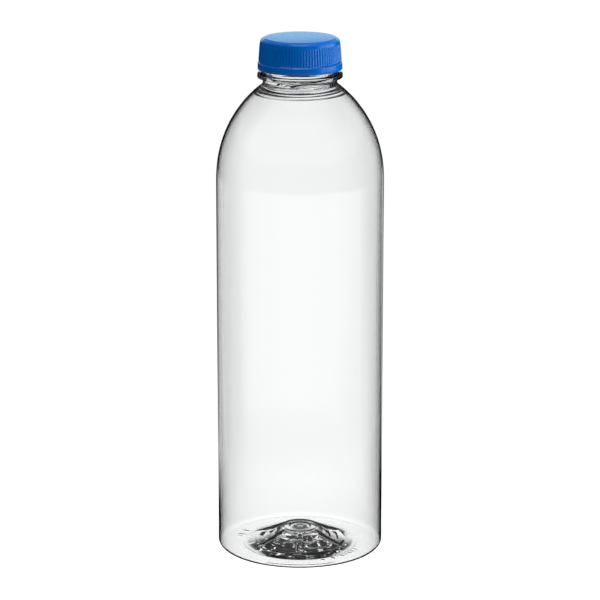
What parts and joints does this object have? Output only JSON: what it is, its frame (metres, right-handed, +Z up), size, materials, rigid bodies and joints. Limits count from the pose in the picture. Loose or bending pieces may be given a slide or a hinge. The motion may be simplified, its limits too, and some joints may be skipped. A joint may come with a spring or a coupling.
{
  "type": "drinks bottle",
  "caption": "Tall clear round drinks bottle with a domed shoulder, short threaded neck and a ribbed screw cap over a tamper-evident ring.",
  "frame": {"origin": "centre of the bottle's axis on the plane of its standing ring", "axes": "+Z up along the bottle's axis, from the base to the cap; -Y is the front; +X to the right seen from the front"},
  "size_m": [0.0785, 0.0784, 0.2464],
  "materials": {
    "clear_pet": "clear, polished",
    "blue_cap_plastic": "satin",
    "liner_foam": "matt, soft"
  },
  "bodies": {
    "bottle_body": {"bottle": "clear_pet"},
    "liner_body": {"seal_liner": "liner_foam"},
    "cap_body": {"screw_cap": "blue_cap_plastic"},
    "ring_body": {"tamper_ring": "blue_cap_plastic", "break_bridges": "blue_cap_plastic"}
  },
  "joints": [
    {"name": "cap_lift", "type": "slide", "parent": "bottle_body", "child": "liner_body", "axis": [0, 0, 1], "range_m": [0, 0.0181]},
    {"name": "cap_turn", "type": "hinge", "parent": "liner_body", "child": "cap_body", "pos_m": [0, 0, 0.244], "axis": [0, 0, 1], "range_deg": [0, 720]},
    {"name": "ring_drop", "type": "slide", "parent": "bottle_body", "child": "ring_body", "axis": [0, 0, 1], "range_m": [-0.0017, 0]}
  ],
  "couplings": [
    {"joint": "cap_lift", "follows": "cap_turn", "m_per_rad": 0.0014324}
  ]
}
